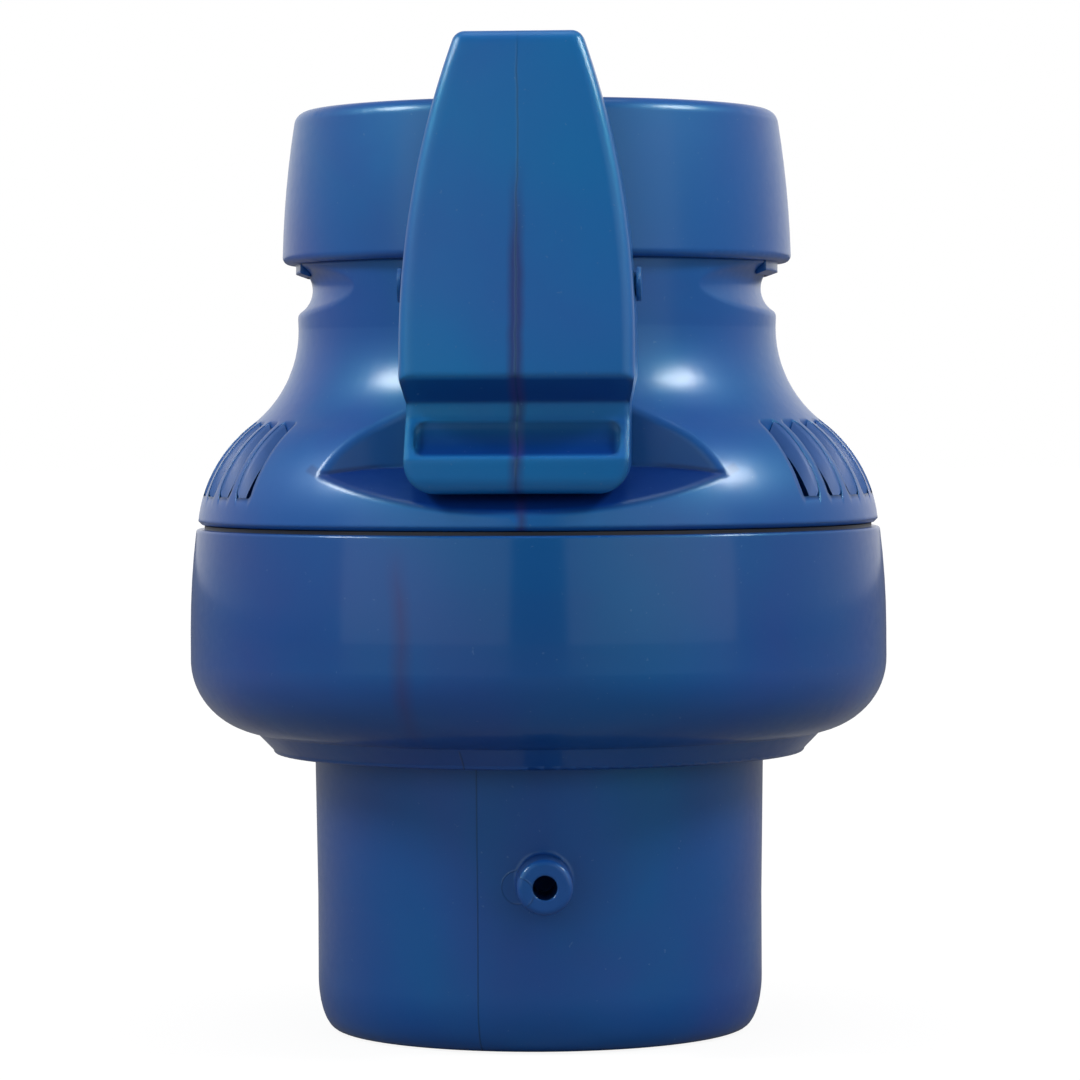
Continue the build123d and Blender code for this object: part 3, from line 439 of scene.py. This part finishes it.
def plain_moulded(name, colour, roughness, metallic=0.0):
    """A plain surface with a fine grain in its colour and gloss."""
    material, tree, shader = new_material(name)
    place, _ = object_place(tree)
    grain = noise(tree, place, 300, 4)
    ramp = ramp_node(tree, [
        (0, [c * 0.82 for c in colour]), (1, [min(1, c * 1.12) for c in colour])
    ])
    tree.links.new(grain, ramp.inputs[0])
    tree.links.new(ramp.outputs["Color"], shader.inputs["Base Color"])
    gloss = tree.nodes.new("ShaderNodeMapRange")
    gloss.inputs["To Min"].default_value = roughness * 0.8
    gloss.inputs["To Max"].default_value = roughness * 1.2
    tree.links.new(grain, gloss.inputs["Value"])
    tree.links.new(gloss.outputs[0], shader.inputs["Roughness"])
    shader.inputs["Metallic"].default_value = metallic
    return material


def dress_cad():
    looks = {
        "drum_blue": moulded_blue(
            "drum_blue_look", (0.004, 0.050, 0.235), (0.010, 0.040, 0.215), drum_marks, 0.0004, 0.12
        ),
        "shell_blue": moulded_blue(
            "shell_blue_look", (0.005, 0.068, 0.290), (0.012, 0.052, 0.265), shell_marks, 0.0006, 0.22
        ),
        "lever_blue": moulded_blue(
            "lever_blue_look", (0.006, 0.098, 0.330), (0.012, 0.078, 0.305), lever_marks, 0.0012, 0.14
        ),
        "inner_blue": plain_moulded("inner_blue_look", (0.022, 0.080, 0.240), 0.45),
        "inner_grey": plain_moulded("inner_grey_look", (0.34, 0.38, 0.42), 0.5),
        "ring_dark": plain_moulded("ring_dark_look", (0.012, 0.016, 0.03), 0.4),
        "seal_black": plain_moulded("seal_look", (0.016, 0.016, 0.018), 0.62),
        "steel": plain_moulded("steel_look", (0.62, 0.63, 0.64), 0.28, 1.0),
    }
    for piece in frame["record"]["subparts"]:
        node = nodes[piece["node"]]
        node.data.materials.clear()
        node.data.materials.append(looks[piece["material_slot"]])


# Vent slots: the flanks of the ribs, which narrow each slot towards the inside. Angles are in degrees.
SHOULDER_ARC_OUT = 27.45 * MM
SHOULDER_ARC_Z = 66.8 * MM
SHOULDER_ARC_R = 18.8 * MM
SLOT_IN = 38.4 * MM
SLOT_OUT = 45.2 * MM
SLOT_PITCH = 7.8
SLOT_HALF = 3.0
SLOT_OVERLAP = 0.25           # how far a flank reaches into its rib
SLOT_GROUPS = (90, 270)
SLOTS_PER_SIDE = 10
FLANK_STEPS = 17
FLANK_SHAPE = (               # across one rib's flank: reach into the slot and drop below the surface
    (0, 0.06 * MM), (0.55 * MM, 0.16 * MM), (0.95 * MM, 0.55 * MM), (1.95 * MM, 2.1 * MM), (0, 2.1 * MM)
)
FLANK_CREASE = radians(60)


def flank_ring(build, wall, side, out):
    """One cross-section of a flank, at a distance out from the axis."""
    top = SHOULDER_ARC_Z + sqrt(SHOULDER_ARC_R ** 2 - (out - SHOULDER_ARC_OUT) ** 2)
    ring = []
    for reach, drop in FLANK_SHAPE:
        turn = wall - side * (reach / out)
        ring.append(build.verts.new((sin(turn) * out, -cos(turn) * out, top - drop)))
    return ring


def add_flank(build, middle, side):
    wall = radians(middle + side * (SLOT_HALF + SLOT_OVERLAP))
    rings = [
        flank_ring(build, wall, side, SLOT_IN + (SLOT_OUT - SLOT_IN) * step / (FLANK_STEPS - 1))
        for step in range(FLANK_STEPS)
    ]
    for first, second in zip(rings, rings[1:]):
        for corner in range(len(FLANK_SHAPE)):
            after = (corner + 1) % len(FLANK_SHAPE)
            face = build.faces.new((first[corner], first[after], second[after], second[corner]))
            face.smooth = True
    build.faces.new(rings[0])
    build.faces.new(rings[-1])


def add_rib_flanks():
    mesh = bpy.data.meshes.new("rib_flanks")
    build = bmesh.new()
    for group in SLOT_GROUPS:
        for slot in range(SLOTS_PER_SIDE):
            for side in (-1, 1):
                add_flank(build, group + (slot - (SLOTS_PER_SIDE - 1) / 2) * SLOT_PITCH, side)
    bmesh.ops.recalc_face_normals(build, faces=build.faces)
    for edge in build.edges:
        if edge.is_manifold and edge.calc_face_angle() > FLANK_CREASE:
            edge.smooth = False
    build.to_mesh(mesh)
    build.free()
    flanks = bpy.data.objects.new("rib_flanks", mesh)
    bpy.context.scene.collection.objects.link(flanks)
    flanks.data.materials.append(plain_moulded("rib_flank_look", (0.008, 0.078, 0.285), 0.5))
    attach(flanks, "upper")


bpy.context.scene.view_settings.view_transform = "Standard"
add_camera()
add_world()
add_lights()
add_floor()
dress_cad()
add_rib_flanks()
